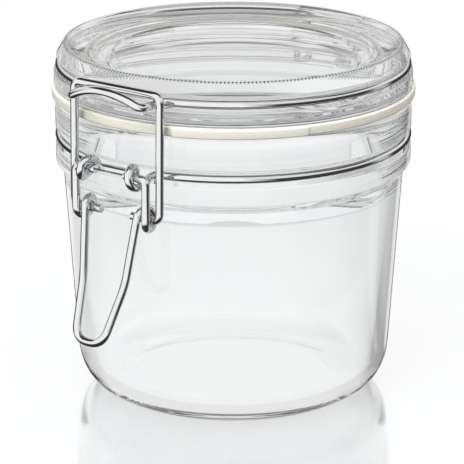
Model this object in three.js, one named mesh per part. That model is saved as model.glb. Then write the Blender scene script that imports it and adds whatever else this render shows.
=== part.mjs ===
// Clip-top preserving jar: a glass body and lid, a rubber gasket and a closure of four bent wires.
// Millimetres, +Z up. The origin is on the jar's axis, in the plane of the base.
// The clip faces -Y and the lid's hinge +Y. In the wire forms "out" is the distance from the axis.
import * as THREE from 'three';

// Driving dimensions of the wires and of every fit
const WIRE_DIAMETER = 2.3;
const CLEARANCE = 0.3; // between pieces that touch
const BEND_RADIUS = 2.4;
const PEG_BEND_RADIUS = 1.5;

// Driving dimensions of the glass body
const MOUTH_HEIGHT = 86.6; // sealing land above the base
const BODY_RADIUS = 48.6; // at the top of the tapered wall
const BODY_TAPER = 4.1; // narrower at the foot, on each side
const HEEL_FILLET = 14;
const BODY_WALL = 3.8;
const FLOOR_THICKNESS = 5;
const FLOOR_FILLET = 10;
const COLLAR_PROUD = 2; // collar past the body, on each side
const COLLAR_STEP = 1.8; // height over which the wall steps out to the collar
const LOWER_BAND_HEIGHT = 5;
const UPPER_BAND_HEIGHT = 8.9;
const LAND_WIDTH = 8.1; // sealing land, from the collar's face to the mouth
const LAND_FILLET = 4.5;
const MOUTH_SHOULDER = 5; // height over which the mouth opens out to the inner wall

// Driving dimensions of the grooves that the wires lie in
const NECK_GROOVE_DEPTH = 2.5;
const LID_GROOVE_DEPTH = 2.5;
const GROOVE_FLARE = 1; // wider at the face than at the root, on each side

// Driving dimensions of the glass lid
const FLANGE_PROUD = 0.2; // flange past the collar, on each side
const FLANGE_HEIGHT = 4;
const RIM_SETBACK = 0.6; // rim inside the flange
const RIM_HEIGHT = 4.6; // from the wire groove to the crest
const RIM_SLOPE = 2.3; // crest inside the foot of the rim
const CREST_WIDTH = 1.1;
const DISH_SLOPE = 5.5; // dish inside the crest
const DISH_DEPTH = 2.7;
const DISH_BORDER = 1.6; // level border outside the outer pressed ring
const RING_WIDTH = 5; // level ring outside the middle panel
const RING_STEP = 0.45;
const PANEL_THICKNESS = 8.4;
const PLUG_DEPTH = 5.2;
const PLUG_WALL = 3.4;
const PLUG_SIDE_GAP = 1.9; // to the mouth, so that the plug swings clear
const PLUG_TAPER = 0.9;
const GLASS_EDGE = 0.5; // rounding of the lid's edges

// Driving dimensions of the gasket
const GASKET_THICKNESS = 2.7;
const GASKET_OVERHANG = 0.75; // past the lid's flange
const GASKET_SETBACK = 0.5; // inner edge outside the mouth
const GASKET_EDGE = 0.45;
const TAB_ANGLE = 41; // degrees
const TAB_PROUD = 0.7; // past the ring
const TAB_CLIP_GAP = 0.9; // from the clip's leg

// Driving dimensions of the eyelets on the neck wire, and of the pegs in them
const EYELET_SPACING = 16; // between the middles of a pair
const EYELET_STANDOFF = 3.95; // axis of the eyelets outside the widest ring
const EYELET_RISE = 0.5; // axis of the eyelets above the neck wire
const EYELET_PITCH = 2.8;
const LINK_GAP = 0.35; // between an eyelet and the upright wire beside it
const PEG_PROUD = 0.4; // past the eyelet

// Driving dimensions of the lid wire's nose and of the clip
const NOSE_SIDE_GAP = 0.4; // inside the clip's legs
const NOSE_REACH = 7.6; // from the lid's flange to the crest of the nose
const NOSE_RISE = 3.2;
const NOSE_SETBACK = 1.2; // the nose's lower corners, inside its crest
const SEAT_GAP = 0.45; // under the clip's bar, where it bears on the nose
const SEAT_REACH = 1.5; // from the lid's flange to the middle of the clip's bar
const CLIP_PEG_PROUD = 2.4; // past the lever's coil

// Driving dimensions of the lever
const COIL_DROP = 11.8; // from the eyelets down to the lever's coils
const COIL_PITCH = 3.2;
const OVER_CENTRE = 2.5; // the coils lie this much inside the eyelets
const LEVER_LENGTH = 33.6; // from the coils to the finger end
const LEVER_KICK = 10.3; // the finger end stands out this much from the coils
const KNEE_DROP = 18; // where the lever turns outwards, below the coils
const KNEE_OUT = 3.3;
const KNEE_HALF_WIDTH = 7.2;
const FINGER_END_HALF_WIDTH = 4.7;
const FINGER_BEND_RADIUS = 5;
const KNEE_BEND_RADIUS = 24;

// Facets
const TURN_STEPS = 52; // round the glass
const WIRE_SIDES = 8;
const RING_STEP_ANGLE = THREE.MathUtils.degToRad(7);
const LOOP_STEP_ANGLE = THREE.MathUtils.degToRad(26);
const BEND_STEPS = 4;
const BOW_STEPS = 16;
const BOW_BEND_STEPS = 2; // of those, taken up by the bend at each end
const FILLET_STEPS = 2;
const LARGE_FILLET_STEPS = 4;

// Heights and radii that follow from the sizes above
const wireRadius = WIRE_DIAMETER / 2;
const grooveHalf = wireRadius + CLEARANCE;
const collarRadius = BODY_RADIUS + COLLAR_PROUD;
const mouthRadius = collarRadius - LAND_WIDTH;
const neckWireZ = MOUTH_HEIGHT - UPPER_BAND_HEIGHT - grooveHalf - GROOVE_FLARE;
const neckRootRadius = collarRadius - NECK_GROOVE_DEPTH;
const neckWireRadius = neckRootRadius + grooveHalf;
const lowerBandBottom = neckWireZ - grooveHalf - GROOVE_FLARE - LOWER_BAND_HEIGHT;
const shoulderZ = lowerBandBottom - COLLAR_STEP;
const gasketBottom = MOUTH_HEIGHT + CLEARANCE;
const flangeBottom = gasketBottom + GASKET_THICKNESS + CLEARANCE;
const flangeTop = flangeBottom + FLANGE_HEIGHT;
const flangeRadius = collarRadius + FLANGE_PROUD;
const gasketRadius = flangeRadius + GASKET_OVERHANG;
const rimRadius = flangeRadius - RIM_SETBACK;
const crestRadius = rimRadius - RIM_SLOPE;
const lidRootRadius = rimRadius - LID_GROOVE_DEPTH;
const lidWireRadius = lidRootRadius + grooveHalf;
const lidWireZ = flangeTop + grooveHalf + CLEARANCE;
const rimBottom = lidWireZ + grooveHalf;
const crestZ = rimBottom + RIM_HEIGHT;
const dishZ = crestZ - DISH_DEPTH;
const panelZ = dishZ - 2 * RING_STEP;

// Axes and planes of the closure
const loopRadius = WIRE_DIAMETER + CLEARANCE; // middle of the wire in an eyelet or a coil
const eyeletX = EYELET_SPACING / 2;
const eyeletOut = Math.max(gasketRadius, collarRadius) + EYELET_STANDOFF;
const eyeletZ = neckWireZ + EYELET_RISE;
const pegEndX = eyeletX - EYELET_PITCH / 2 - wireRadius - PEG_PROUD;
const linkX = eyeletX + EYELET_PITCH / 2 + WIRE_DIAMETER + LINK_GAP;
const coilEndX = linkX - COIL_PITCH;
const coilOut = eyeletOut - OVER_CENTRE;
const coilZ = eyeletZ - COIL_DROP;
const legX = linkX + WIRE_DIAMETER + CLEARANCE;
const seatOut = flangeRadius + SEAT_REACH;
const seatZ = lidWireZ + WIRE_DIAMETER + SEAT_GAP;
const noseX = legX - WIRE_DIAMETER - NOSE_SIDE_GAP;

// A point of a wire on the clip's side, given by its distance out
const front = (x, out, z) => new THREE.Vector3(x, -out, z);
const mirrorX = (line) => line.map((p) => new THREE.Vector3(-p.x, p.y, p.z)).reverse();
const mirrorY = (line) => line.map((p) => new THREE.Vector3(p.x, -p.y, p.z)).reverse();

// Straight runs joined by bends, as a wire is bent round a former
function bentLine(corners, radius) {
  const line = [corners[0]];
  for (let i = 1; i < corners.length - 1; i += 1) {
    const back = corners[i - 1].clone().sub(corners[i]);
    const ahead = corners[i + 1].clone().sub(corners[i]);
    const halfTurn = (Math.PI - back.angleTo(ahead)) / 2;
    const inset = Math.min(radius * Math.tan(halfTurn), back.length() / 2, ahead.length() / 2);
    const start = corners[i].clone().addScaledVector(back.normalize(), inset);
    const end = corners[i].clone().addScaledVector(ahead.normalize(), inset);
    line.push(...new THREE.QuadraticBezierCurve3(start, corners[i], end).getPoints(BEND_STEPS));
  }
  line.push(corners.at(-1));
  return line;
}

// A level arc about the jar's axis, by bearings measured from the clip towards +X
function ringArc(radius, z, from, to) {
  const count = Math.ceil(Math.abs(to - from) / RING_STEP_ANGLE);
  return Array.from({ length: count + 1 }, (_, i) => {
    const bearing = from + ((to - from) * i) / count;
    return front(radius * Math.sin(bearing), radius * Math.cos(bearing), z);
  });
}

// A loop about an axis along X. Angle 0 is the jar's side, and the loop first climbs.
function loop(centreOut, centreZ, xFrom, xTo, angleFrom, angleTo) {
  const count = Math.ceil(Math.abs(angleTo - angleFrom) / LOOP_STEP_ANGLE);
  return Array.from({ length: count + 1 }, (_, i) => {
    const angle = angleFrom + ((angleTo - angleFrom) * i) / count;
    const x = xFrom + ((xTo - xFrom) * i) / count;
    const out = centreOut - loopRadius * Math.cos(angle);
    return front(x, out, centreZ + loopRadius * Math.sin(angle));
  });
}

// Points that nearly coincide are one point of the wire
const sameSpot = (p, q) => p.distanceTo(q) < wireRadius / 10;

// A round wire along a centre line, carried along without twist, closed on itself or capped
function wire(centreLine, closed) {
  const line = centreLine.filter((p, i) => i === 0 || !sameSpot(p, centreLine[i - 1]));
  if (closed && sameSpot(line.at(-1), line[0])) line.pop();
  const count = line.length;
  const at = (i) => (closed ? line[(i + count) % count] : line[Math.min(Math.max(i, 0), count - 1)]);
  const tangents = line.map((_, i) => at(i + 1).clone().sub(at(i - 1)).normalize());
  let normal = new THREE.Vector3(0, 0, 1).cross(tangents[0]).normalize();
  const normals = tangents.map((tangent) => {
    normal = normal.clone().addScaledVector(tangent, -normal.dot(tangent)).normalize();
    return normal;
  });
  // A closed line comes back turned a little, which is shared out along it
  let twist = 0;
  if (closed) {
    const arrived = normal.clone().addScaledVector(tangents[0], -normal.dot(tangents[0])).normalize();
    const side = new THREE.Vector3().crossVectors(tangents[0], normals[0]);
    twist = -Math.atan2(arrived.dot(side), arrived.dot(normals[0]));
  }
  const positions = [];
  line.forEach((centre, i) => {
    const side = new THREE.Vector3().crossVectors(tangents[i], normals[i]);
    for (let k = 0; k < WIRE_SIDES; k += 1) {
      const angle = (2 * Math.PI * k) / WIRE_SIDES + (twist * i) / count;
      const p = centre.clone();
      p.addScaledVector(normals[i], wireRadius * Math.cos(angle));
      p.addScaledVector(side, wireRadius * Math.sin(angle));
      positions.push(p.x, p.y, p.z);
    }
  });
  const index = [];
  const spans = closed ? count : count - 1;
  for (let i = 0; i < spans; i += 1) {
    for (let k = 0; k < WIRE_SIDES; k += 1) {
      const a = i * WIRE_SIDES + k;
      const b = i * WIRE_SIDES + ((k + 1) % WIRE_SIDES);
      const c = ((i + 1) % count) * WIRE_SIDES + k;
      const d = ((i + 1) % count) * WIRE_SIDES + ((k + 1) % WIRE_SIDES);
      index.push(a, b, d, a, d, c);
    }
  }
  const last = (count - 1) * WIRE_SIDES;
  for (let k = 1; !closed && k < WIRE_SIDES - 1; k += 1) {
    index.push(0, k + 1, k, last, last + k, last + k + 1);
  }
  const geometry = new THREE.BufferGeometry();
  geometry.setAttribute('position', new THREE.Float32BufferAttribute(positions, 3));
  geometry.setIndex(index);
  geometry.computeVertexNormals();
  return geometry;
}

// A profile of [radius, height, fillet, steps] corners, turned about the jar's axis
function turned(corners) {
  const profile = [new THREE.Vector2(corners[0][0], corners[0][1])];
  for (let i = 1; i < corners.length - 1; i += 1) {
    const [radius, z, fillet = 0, steps = FILLET_STEPS] = corners[i];
    const corner = new THREE.Vector2(radius, z);
    const back = new THREE.Vector2(corners[i - 1][0], corners[i - 1][1]).sub(corner);
    const ahead = new THREE.Vector2(corners[i + 1][0], corners[i + 1][1]).sub(corner);
    const halfTurn = (Math.PI - back.angleTo(ahead)) / 2;
    const inset = Math.min(fillet * Math.tan(halfTurn), back.length() / 2, ahead.length() / 2);
    if (inset > 0) {
      const start = corner.clone().addScaledVector(back.normalize(), inset);
      const end = corner.clone().addScaledVector(ahead.normalize(), inset);
      profile.push(...new THREE.QuadraticBezierCurve(start, corner, end).getPoints(steps));
    } else {
      profile.push(corner);
    }
  }
  profile.push(new THREE.Vector2(corners.at(-1)[0], corners.at(-1)[1]));
  return new THREE.LatheGeometry(profile, TURN_STEPS).rotateX(Math.PI / 2);
}

// Corners of the collar's groove, from below to above
function neckGroove() {
  const low = neckWireZ - grooveHalf;
  const high = neckWireZ + grooveHalf;
  return [
    [collarRadius, low - GROOVE_FLARE, wireRadius / 2],
    [neckRootRadius, low, grooveHalf],
    [neckRootRadius, high, grooveHalf],
    [collarRadius, high + GROOVE_FLARE, wireRadius / 2],
  ];
}

function jarBody() {
  const footRadius = BODY_RADIUS - BODY_TAPER;
  return turned([
    [0, 0],
    [footRadius, 0, HEEL_FILLET, LARGE_FILLET_STEPS],
    [BODY_RADIUS, shoulderZ, COLLAR_STEP],
    [collarRadius, lowerBandBottom, COLLAR_STEP / 2],
    ...neckGroove(),
    [collarRadius, MOUTH_HEIGHT, LAND_FILLET],
    [mouthRadius, MOUTH_HEIGHT, LAND_FILLET / 2],
    [mouthRadius, shoulderZ, MOUTH_SHOULDER / 2],
    [BODY_RADIUS - BODY_WALL, shoulderZ - MOUTH_SHOULDER, MOUTH_SHOULDER / 2],
    [footRadius - BODY_WALL, FLOOR_THICKNESS, FLOOR_FILLET, LARGE_FILLET_STEPS],
    [0, FLOOR_THICKNESS],
  ]);
}

function lid() {
  const plugRadius = mouthRadius - PLUG_SIDE_GAP;
  const plugFoot = plugRadius - PLUG_TAPER;
  const plugBottom = flangeBottom - PLUG_DEPTH;
  const undersideZ = panelZ - PANEL_THICKNESS;
  const dishRadius = crestRadius - CREST_WIDTH - DISH_SLOPE;
  const ringRadius = dishRadius - DISH_BORDER;
  const panelRadius = ringRadius - RING_STEP - RING_WIDTH;
  return turned([
    [0, undersideZ],
    [plugFoot - PLUG_WALL - GLASS_EDGE, undersideZ, GLASS_EDGE],
    [plugFoot - PLUG_WALL, plugBottom, GLASS_EDGE],
    [plugFoot, plugBottom, 2 * GLASS_EDGE],
    [plugRadius, flangeBottom],
    [flangeRadius, flangeBottom, GLASS_EDGE],
    [flangeRadius, flangeTop, GLASS_EDGE],
    [lidRootRadius, lidWireZ - grooveHalf, grooveHalf / 2],
    [lidRootRadius, rimBottom, grooveHalf / 2],
    [rimRadius, rimBottom + GROOVE_FLARE / 2, GLASS_EDGE],
    [crestRadius, crestZ, GLASS_EDGE],
    [crestRadius - CREST_WIDTH, crestZ, GLASS_EDGE],
    [dishRadius, dishZ, DISH_DEPTH, LARGE_FILLET_STEPS],
    [ringRadius, dishZ],
    [ringRadius - RING_STEP, dishZ - RING_STEP],
    [panelRadius, dishZ - RING_STEP],
    [panelRadius - RING_STEP, panelZ],
    [0, panelZ],
  ]);
}

// A flat ring with a low tab to pull it by, beside the clip
function gasket() {
  const tabStart = Math.atan2(legX + wireRadius + TAB_CLIP_GAP, gasketRadius);
  const tabEnd = tabStart + THREE.MathUtils.degToRad(TAB_ANGLE);
  const outerRadius = gasketRadius - GASKET_EDGE;
  const innerRadius = mouthRadius + GASKET_SETBACK + GASKET_EDGE;
  const outline = new THREE.Shape([
    ...ringArc(outerRadius + TAB_PROUD, 0, tabStart, tabEnd),
    ...ringArc(outerRadius, 0, tabEnd, tabStart + 2 * Math.PI),
  ]);
  outline.holes.push(new THREE.Path().absarc(0, 0, innerRadius, 0, 2 * Math.PI, true));
  const geometry = new THREE.ExtrudeGeometry(outline, {
    depth: GASKET_THICKNESS - 2 * GASKET_EDGE,
    bevelThickness: GASKET_EDGE,
    bevelSize: GASKET_EDGE,
    bevelSegments: 1,
    curveSegments: TURN_STEPS / 2,
  });
  return geometry.translate(0, 0, gasketBottom + GASKET_EDGE);
}

// One quarter of the neck wire: half the bar, one eyelet, the step back to the groove and the ring
function neckWireQuarter() {
  const barOut = eyeletOut - loopRadius;
  const xIn = eyeletX - EYELET_PITCH / 2;
  const xOut = eyeletX + EYELET_PITCH / 2;
  const ringOut = Math.sqrt(neckWireRadius ** 2 - xOut ** 2);
  // The wire leaves the eyelet along the tangent that reaches the groove
  const slope = Math.asin(loopRadius / Math.hypot(eyeletOut - ringOut, EYELET_RISE))
    - Math.atan2(EYELET_RISE, eyeletOut - ringOut);
  const eyelet = loop(eyeletOut, eyeletZ, xIn, xOut, LOOP_STEP_ANGLE, 1.5 * Math.PI + slope);
  const bar = bentLine([
    front(0, barOut, eyeletZ),
    front(xIn, barOut, eyeletZ),
    eyelet[0],
  ], PEG_BEND_RADIUS);
  const rejoin = Math.asin(xOut / neckWireRadius) + 2 * BEND_RADIUS / neckWireRadius;
  const ring = ringArc(neckWireRadius, neckWireZ, rejoin, Math.PI / 2);
  const step = bentLine([eyelet.at(-1), front(xOut, ringOut, neckWireZ), ring[0]], BEND_RADIUS);
  return [...bar, ...eyelet, ...step, ...ring];
}

// The neck wire: a ring in the collar's groove, with a pair of eyelets in front and another behind
function neckWire() {
  const quarter = neckWireQuarter();
  const half = [...quarter, ...mirrorY(quarter)];
  return wire([...half, ...mirrorX(half)], true);
}

// The right half of the nose: a bow that dips at its ends, and the side that runs back to the ring
function noseHalf(ringOut, ringStart) {
  const crestOut = flangeRadius + NOSE_REACH;
  const corner = front(noseX, crestOut - NOSE_SETBACK, lidWireZ);
  // The middle of this curve lies halfway to its control point
  const pull = front(0, crestOut + NOSE_SETBACK, lidWireZ + 2 * NOSE_RISE);
  const bow = new THREE.QuadraticBezierCurve3(mirrorX([corner])[0], pull, corner).getPoints(BOW_STEPS);
  const rise = bow.slice(BOW_STEPS / 2, -BOW_BEND_STEPS);
  const side = bentLine([
    rise.at(-1),
    corner,
    front(noseX, ringOut(noseX), lidWireZ),
    ringStart,
  ], BEND_RADIUS);
  return [...rise, ...side];
}

// The lid wire: hinge pegs, upright legs, a ring in the lid's groove and the nose that the clip holds
function lidWire() {
  const ringOut = (x) => Math.sqrt(lidWireRadius ** 2 - x ** 2);
  const joinBend = 2 * BEND_RADIUS / lidWireRadius;
  const noseBearing = Math.asin(noseX / lidWireRadius) + joinBend;
  const legBearing = Math.PI - Math.asin(linkX / lidWireRadius) - joinBend;
  const ring = ringArc(lidWireRadius, lidWireZ, noseBearing, legBearing);
  const nose = noseHalf(ringOut, ring[0]);
  const leg = bentLine([
    ring.at(-1),
    front(linkX, -ringOut(linkX), lidWireZ),
    front(linkX, -eyeletOut, lidWireZ),
    front(linkX, -eyeletOut, lidWireZ - 2 * BEND_RADIUS),
  ], BEND_RADIUS);
  const peg = bentLine([
    leg.at(-1),
    front(linkX, -eyeletOut, eyeletZ),
    front(pegEndX, -eyeletOut, eyeletZ),
  ], PEG_BEND_RADIUS);
  const half = [...nose, ...ring, ...leg, ...peg];
  return wire([...mirrorX(half), ...half], false);
}

// The clip: a bar over the nose and two legs whose ends turn in through the lever's coils
function clip() {
  const half = bentLine([
    front(0, seatOut, seatZ),
    front(legX, seatOut, seatZ),
    front(legX, coilOut, coilZ),
    front(coilEndX - wireRadius - CLIP_PEG_PROUD, coilOut, coilZ),
  ], BEND_RADIUS);
  return wire([...mirrorX(half), ...half], false);
}

// The lever: pegs in the eyelets, links, a coil on each side for the clip, and the finger loop
function lever() {
  const coilSide = coilOut + loopRadius;
  const coil = loop(coilOut, coilZ, linkX, coilEndX, Math.PI, 3 * Math.PI);
  const link = bentLine([
    front(pegEndX, eyeletOut, eyeletZ),
    front(linkX, eyeletOut, eyeletZ),
    front(linkX, coilSide, coilZ + loopRadius),
    coil[0],
  ], PEG_BEND_RADIUS);
  const side = [
    coil.at(-1),
    front(KNEE_HALF_WIDTH, coilSide + KNEE_OUT, coilZ - KNEE_DROP),
    front(FINGER_END_HALF_WIDTH, coilSide + LEVER_KICK, coilZ - LEVER_LENGTH),
  ];
  const end = bentLine([...side.slice(1), ...mirrorX(side.slice(1))], FINGER_BEND_RADIUS);
  const knee = bentLine([side[0], side[1], end[1]], KNEE_BEND_RADIUS);
  const fingerLoop = [...knee, ...end.slice(2, -2), ...mirrorX(knee)];
  const half = [...link, ...coil];
  return wire([...half, ...fingerLoop, ...mirrorX(half)], false);
}

const materials = {
  glass: { color: '#dfe6e4', roughness: 0.05, metalness: 0, transparent: true, opacity: 0.35 },
  rubber: { color: '#e6e0cd', roughness: 0.55, metalness: 0 },
  steel: { color: '#c9ccd0', roughness: 0.15, metalness: 1 },
};

const jar = new THREE.Group();
const pieces = [
  ['jar_body', jarBody, materials.glass],
  ['neck_wire', neckWire, materials.steel],
  ['lid', lid, materials.glass],
  ['gasket', gasket, materials.rubber],
  ['lid_wire', lidWire, materials.steel],
  ['lever', lever, materials.steel],
  ['clip', clip, materials.steel],
];
for (const [name, make, finish] of pieces) {
  const mesh = new THREE.Mesh(make(), new THREE.MeshStandardMaterial(finish));
  mesh.name = name;
  jar.add(mesh);
}

export default jar;
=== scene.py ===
# Clip-top preserving jar: the looks of the glass, the rubber ring and the four bent wires.
# The sizes repeat the part's source, in metres, apart from the jar's floor, a shallow bowl here.
# +Z is up, and the clip faces -Y.
import math

import bpy
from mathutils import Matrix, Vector


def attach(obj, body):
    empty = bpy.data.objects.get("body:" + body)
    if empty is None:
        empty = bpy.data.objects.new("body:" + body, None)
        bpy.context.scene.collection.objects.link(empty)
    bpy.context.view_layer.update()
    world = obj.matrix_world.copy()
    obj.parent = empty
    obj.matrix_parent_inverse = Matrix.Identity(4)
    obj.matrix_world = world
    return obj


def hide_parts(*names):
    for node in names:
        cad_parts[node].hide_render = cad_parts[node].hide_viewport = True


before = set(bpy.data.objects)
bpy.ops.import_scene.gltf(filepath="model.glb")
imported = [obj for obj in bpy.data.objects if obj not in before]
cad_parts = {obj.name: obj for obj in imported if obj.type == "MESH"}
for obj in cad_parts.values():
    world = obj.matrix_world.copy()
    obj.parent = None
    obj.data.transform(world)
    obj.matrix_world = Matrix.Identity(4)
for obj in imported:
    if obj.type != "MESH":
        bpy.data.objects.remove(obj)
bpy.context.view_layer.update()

MM = 0.001
FULL_TURN = 2 * math.pi

# Wires and fits
WIRE_DIAMETER = 2.3 * MM
CLEARANCE = 0.3 * MM
BEND_RADIUS = 2.4 * MM
PEG_BEND_RADIUS = 1.5 * MM

# Glass body
MOUTH_HEIGHT = 86.6 * MM
BODY_RADIUS = 48.6 * MM
BODY_TAPER = 4.1 * MM
HEEL_FILLET = 14 * MM
BODY_WALL = 3.8 * MM
FLOOR_THICKNESS = 3.4 * MM
FLOOR_DISH = 0.3 * MM
FLOOR_RISE = 3 * MM
FLOOR_BORDER = 10 * MM
FLOOR_FILLET = 40 * MM
WALL_FOOT_FILLET = 20 * MM
COLLAR_PROUD = 2 * MM
COLLAR_STEP = 1.8 * MM
LOWER_BAND_HEIGHT = 5 * MM
UPPER_BAND_HEIGHT = 8.9 * MM
LAND_WIDTH = 8.1 * MM
LAND_FILLET = 4.5 * MM
MOUTH_SHOULDER = 5 * MM

# Grooves that the wires lie in
NECK_GROOVE_DEPTH = 2.5 * MM
LID_GROOVE_DEPTH = 2.5 * MM
GROOVE_FLARE = 1 * MM

# Glass lid
FLANGE_PROUD = 0.2 * MM
FLANGE_HEIGHT = 4 * MM
RIM_SETBACK = 0.6 * MM
RIM_HEIGHT = 4.6 * MM
RIM_SLOPE = 2.3 * MM
CREST_WIDTH = 1.1 * MM
DISH_SLOPE = 5.5 * MM
DISH_DEPTH = 2.7 * MM
DISH_BORDER = 1.6 * MM
RING_WIDTH = 5 * MM
RING_STEP = 0.45 * MM
PANEL_THICKNESS = 8.4 * MM
PLUG_DEPTH = 5.2 * MM
PLUG_WALL = 3.4 * MM
PLUG_SIDE_GAP = 1.9 * MM
PLUG_TAPER = 0.9 * MM
GLASS_EDGE = 0.5 * MM
KNURL_COUNT = 288
KNURL_DEPTH = 0.1 * MM
KNURL_HEIGHT = 0.7 * MM

# Rubber ring
GASKET_THICKNESS = 2.7 * MM
GASKET_OVERHANG = 0.75 * MM
GASKET_SETBACK = 0.5 * MM
GASKET_EDGE = 0.45 * MM
TAB_ANGLE = math.radians(41)
TAB_PROUD = 0.7 * MM
TAB_CLIP_GAP = 0.9 * MM
TAB_STEP_SHARE = 0.25

# Eyelets, pegs, nose and clip
EYELET_SPACING = 16 * MM
EYELET_STANDOFF = 3.95 * MM
EYELET_RISE = 0.5 * MM
EYELET_PITCH = 2.8 * MM
LINK_GAP = 0.35 * MM
PEG_PROUD = 0.4 * MM
NOSE_SIDE_GAP = 0.4 * MM
NOSE_REACH = 7.6 * MM
NOSE_RISE = 3.2 * MM
NOSE_SETBACK = 1.2 * MM
SEAT_GAP = 0.45 * MM
SEAT_REACH = 1.5 * MM
CLIP_PEG_PROUD = 2.4 * MM

# Lever
COIL_DROP = 11.8 * MM
COIL_PITCH = 3.2 * MM
OVER_CENTRE = 2.5 * MM
LEVER_LENGTH = 33.6 * MM
LEVER_KICK = 10.3 * MM
KNEE_DROP = 18 * MM
KNEE_OUT = 3.3 * MM
KNEE_HALF_WIDTH = 7.2 * MM
FINGER_END_HALF_WIDTH = 4.7 * MM
FINGER_BEND_RADIUS = 5 * MM
KNEE_BEND_RADIUS = 24 * MM

# Fineness of the curves
BODY_SEGMENTS = 192
LID_SEGMENTS = 3 * KNURL_COUNT
GASKET_SEGMENTS = 240
FILLET_STEPS = 5
LARGE_FILLET_STEPS = 12
WIRE_SIDES = 20
RING_STEP_ANGLE = math.radians(2)
LOOP_STEP_ANGLE = math.radians(10)
BEND_STEPS = 8
BOW_STEPS = 32
BOW_BEND_STEPS = 4
CUT_BEVEL = 0.3 * MM
CUT_SIZE = 0.7
CUT_STEPS = 4
DOUBLE_DISTANCE = CUT_BEVEL / CUT_STEPS / 2
MERGE_DISTANCE = 0.001 * MM
SHARP_ANGLE = math.radians(38)

# Spacing and depth of the finishes' patterns, and how polished each finish is
GLASS_IOR = 1.52
GLASS_WAVE_SPACING = 18 * MM
GLASS_WAVE_DEPTH = 0.02 * MM
GLASS_CORD_SPACING = 30 * MM
# Depths of a notch between which its painted shade comes in
NOTCH_SHADE_START = 0.3 * KNURL_DEPTH
NOTCH_SHADE_END = 0.7 * KNURL_DEPTH
DRAW_LINE_WIDTH = 0.5 * MM
DRAW_LINE_LENGTH = 10.87 * MM
DRAW_LINE_DEPTH = 0.006 * MM
DRAW_LINE_FAINT = 0.3
DRAW_LINE_STRONG = 0.7
STEEL_SMOOTHEST = 0.05
STEEL_ROUGHEST = 0.12
RUBBER_IOR = 1.52
RUBBER_CLOUD_SPACING = 9 * MM
RUBBER_GRAIN = 0.4 * MM
RUBBER_GRAIN_DEPTH = 0.03 * MM
RUBBER_SMOOTHEST = 0.45
RUBBER_ROUGHEST = 0.7

# Sockets of a Mix node that mixes two colours
FIRST_COLOUR = 6
SECOND_COLOUR = 7
MIXED_COLOUR = 2

# Heights and radii that follow from the sizes above
wire_radius = WIRE_DIAMETER / 2
groove_half = wire_radius + CLEARANCE
collar_radius = BODY_RADIUS + COLLAR_PROUD
mouth_radius = collar_radius - LAND_WIDTH
neck_wire_z = MOUTH_HEIGHT - UPPER_BAND_HEIGHT - groove_half - GROOVE_FLARE
neck_root_radius = collar_radius - NECK_GROOVE_DEPTH
neck_wire_radius = neck_root_radius + groove_half
lower_band_bottom = neck_wire_z - groove_half - GROOVE_FLARE - LOWER_BAND_HEIGHT
shoulder_z = lower_band_bottom - COLLAR_STEP
gasket_bottom = MOUTH_HEIGHT + CLEARANCE
flange_bottom = gasket_bottom + GASKET_THICKNESS + CLEARANCE
flange_top = flange_bottom + FLANGE_HEIGHT
flange_radius = collar_radius + FLANGE_PROUD
gasket_radius = flange_radius + GASKET_OVERHANG
rim_radius = flange_radius - RIM_SETBACK
crest_radius = rim_radius - RIM_SLOPE
lid_root_radius = rim_radius - LID_GROOVE_DEPTH
lid_wire_radius = lid_root_radius + groove_half
lid_wire_z = flange_top + groove_half + CLEARANCE
rim_bottom = lid_wire_z + groove_half
crest_z = rim_bottom + RIM_HEIGHT
dish_z = crest_z - DISH_DEPTH
panel_z = dish_z - 2 * RING_STEP

# Axes and planes of the closure
loop_radius = WIRE_DIAMETER + CLEARANCE
eyelet_x = EYELET_SPACING / 2
eyelet_out = max(gasket_radius, collar_radius) + EYELET_STANDOFF
eyelet_z = neck_wire_z + EYELET_RISE
peg_end_x = eyelet_x - EYELET_PITCH / 2 - wire_radius - PEG_PROUD
link_x = eyelet_x + EYELET_PITCH / 2 + WIRE_DIAMETER + LINK_GAP
coil_end_x = link_x - COIL_PITCH
coil_out = eyelet_out - OVER_CENTRE
coil_z = eyelet_z - COIL_DROP
leg_x = link_x + WIRE_DIAMETER + CLEARANCE
seat_out = flange_radius + SEAT_REACH
seat_z = lid_wire_z + WIRE_DIAMETER + SEAT_GAP
nose_x = leg_x - WIRE_DIAMETER - NOSE_SIDE_GAP


def linear(hex_colour):
    """The linear colour of an sRGB hex value."""
    shares = [int(hex_colour[i:i + 2], 16) / 255 for i in (1, 3, 5)]
    return [s / 12.92 if s <= 0.04045 else ((s + 0.055) / 1.055) ** 2.4 for s in shares] + [1.0]


def add_node(tree, kind, inputs=None, **settings):
    """A node with its settings, its inputs set to values or linked to other nodes' outputs."""
    node = tree.nodes.new(kind)
    for name, value in settings.items():
        setattr(node, name, value)
    for key, value in (inputs or {}).items():
        if isinstance(value, bpy.types.NodeSocket):
            tree.links.new(value, node.inputs[key])
        else:
            node.inputs[key].default_value = value
    return node


def new_material(name):
    """A material with an empty node tree."""
    material = bpy.data.materials.new(name)
    material.use_nodes = True
    material.node_tree.nodes.clear()
    return material


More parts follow.
